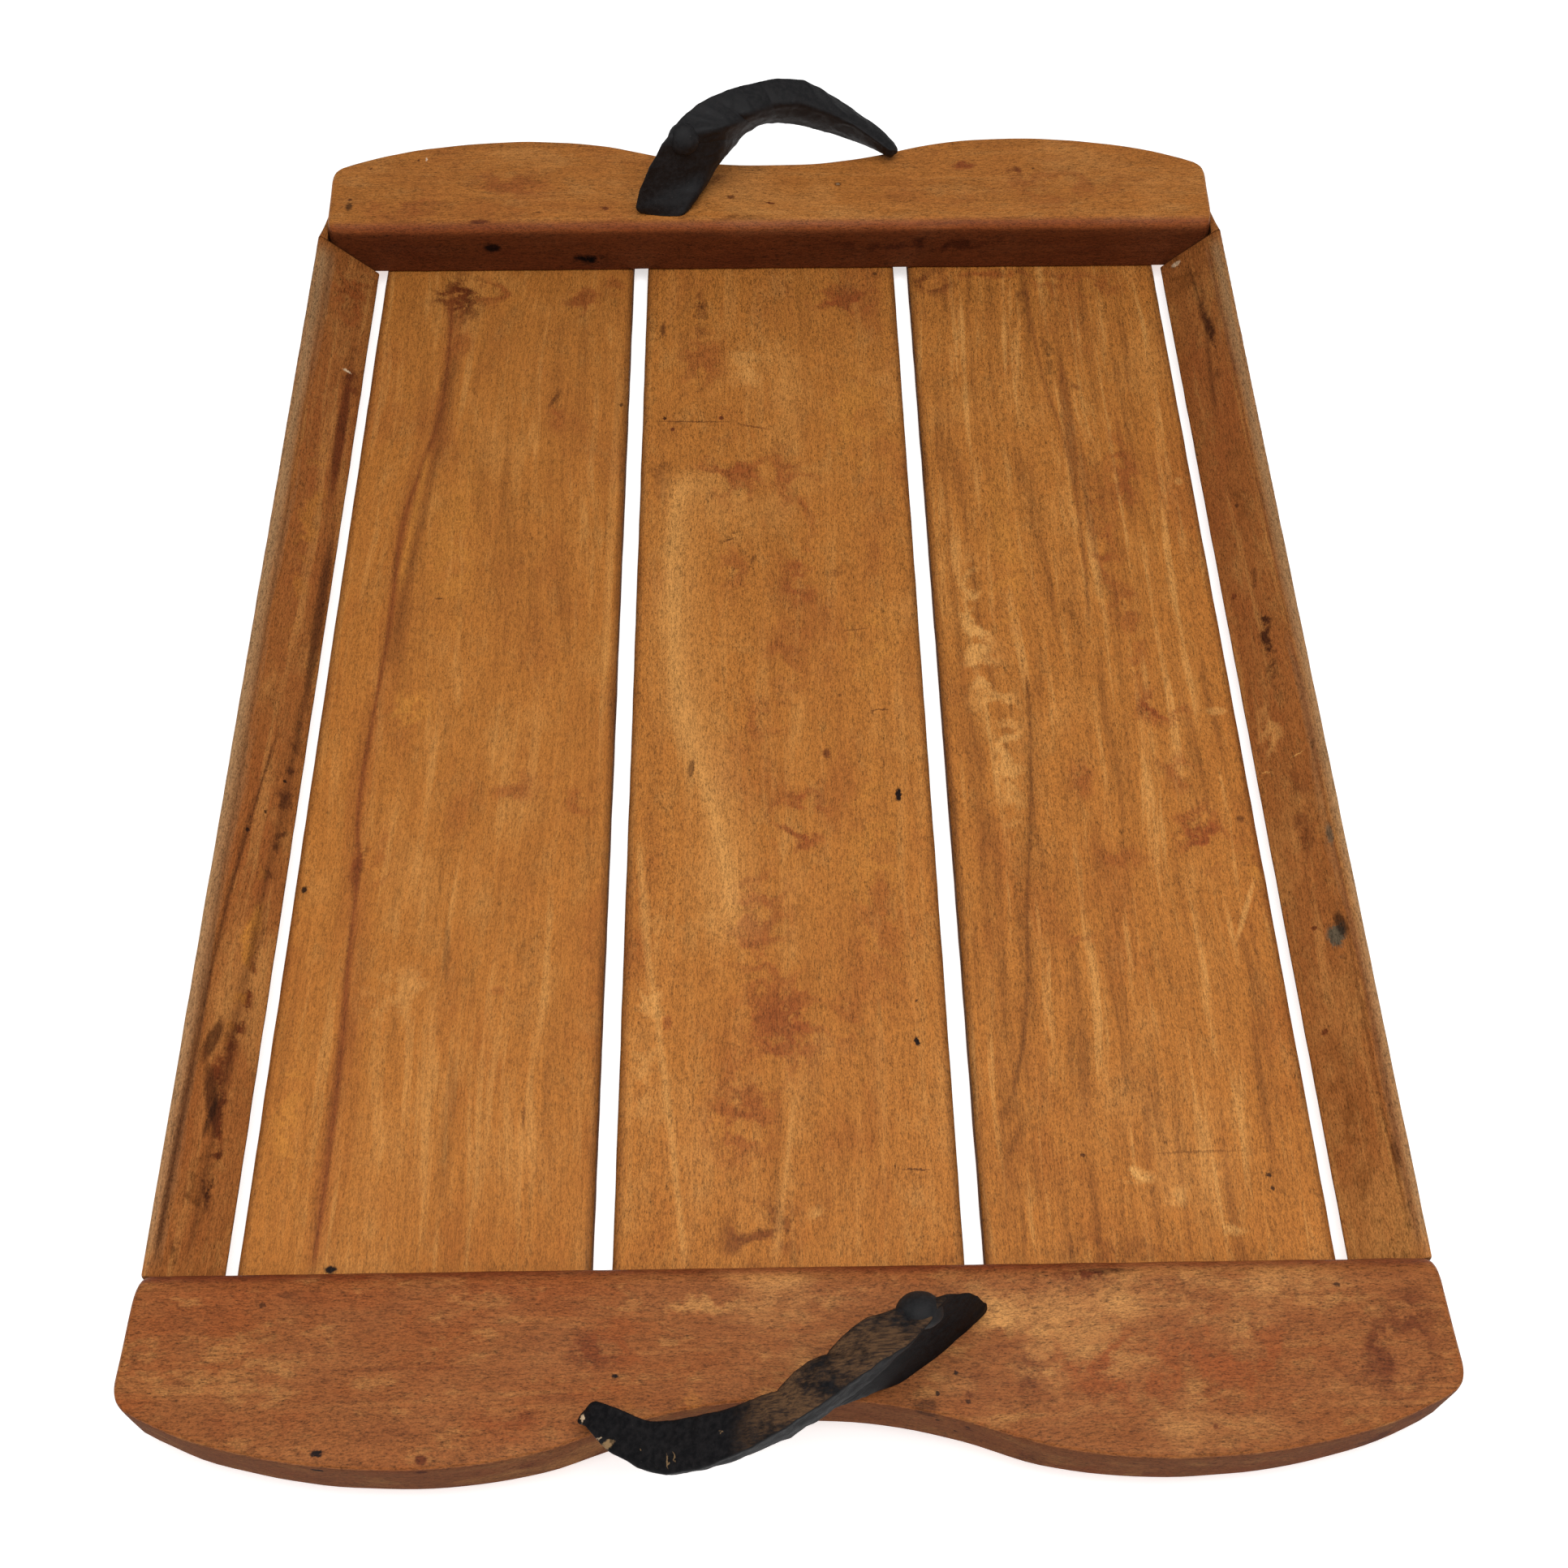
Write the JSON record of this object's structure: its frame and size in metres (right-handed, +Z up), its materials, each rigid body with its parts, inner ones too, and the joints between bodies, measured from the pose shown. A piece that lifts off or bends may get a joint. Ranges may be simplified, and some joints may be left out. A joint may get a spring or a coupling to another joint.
{
  "type": "slatted serving tray",
  "caption": "Shallow oblong wooden tray: flat slats between two wavy end boards and sloping side rails, with an arched, twisted forged iron handle standing on each end board.",
  "frame": {"origin": "middle of the underside, level with the slats' lower faces", "axes": "+Z up, Y along the slats from the front end board to the back one, X across the slats"},
  "size_m": [0.342, 0.508, 0.0615],
  "materials": {
    "slat_wood": "oiled",
    "rail_wood": "oiled",
    "board_wood": "oiled",
    "forged_iron": "waxed black",
    "screw_steel": "plain"
  },
  "bodies": {
    "root": {"end_board_back": "board_wood", "end_board_front": "board_wood", "handle_back": "forged_iron", "handle_front": "forged_iron", "handle_screw_1": "screw_steel", "handle_screw_2": "screw_steel", "handle_screw_3": "screw_steel", "handle_screw_4": "screw_steel", "rail_left": "rail_wood", "rail_pin_1": "screw_steel", "rail_pin_2": "screw_steel", "rail_pin_3": "screw_steel", "rail_pin_4": "screw_steel", "rail_right": "rail_wood", "rivet_back": "forged_iron", "rivet_front": "forged_iron", "slat_left": "slat_wood", "slat_middle": "slat_wood", "slat_right": "slat_wood", "slat_screw_1": "screw_steel", "slat_screw_10": "screw_steel", "slat_screw_11": "screw_steel", "slat_screw_12": "screw_steel", "slat_screw_2": "screw_steel", "slat_screw_3": "screw_steel", "slat_screw_4": "screw_steel", "slat_screw_5": "screw_steel", "slat_screw_6": "screw_steel", "slat_screw_7": "screw_steel", "slat_screw_8": "screw_steel", "slat_screw_9": "screw_steel"}
  },
  "joints": []
}
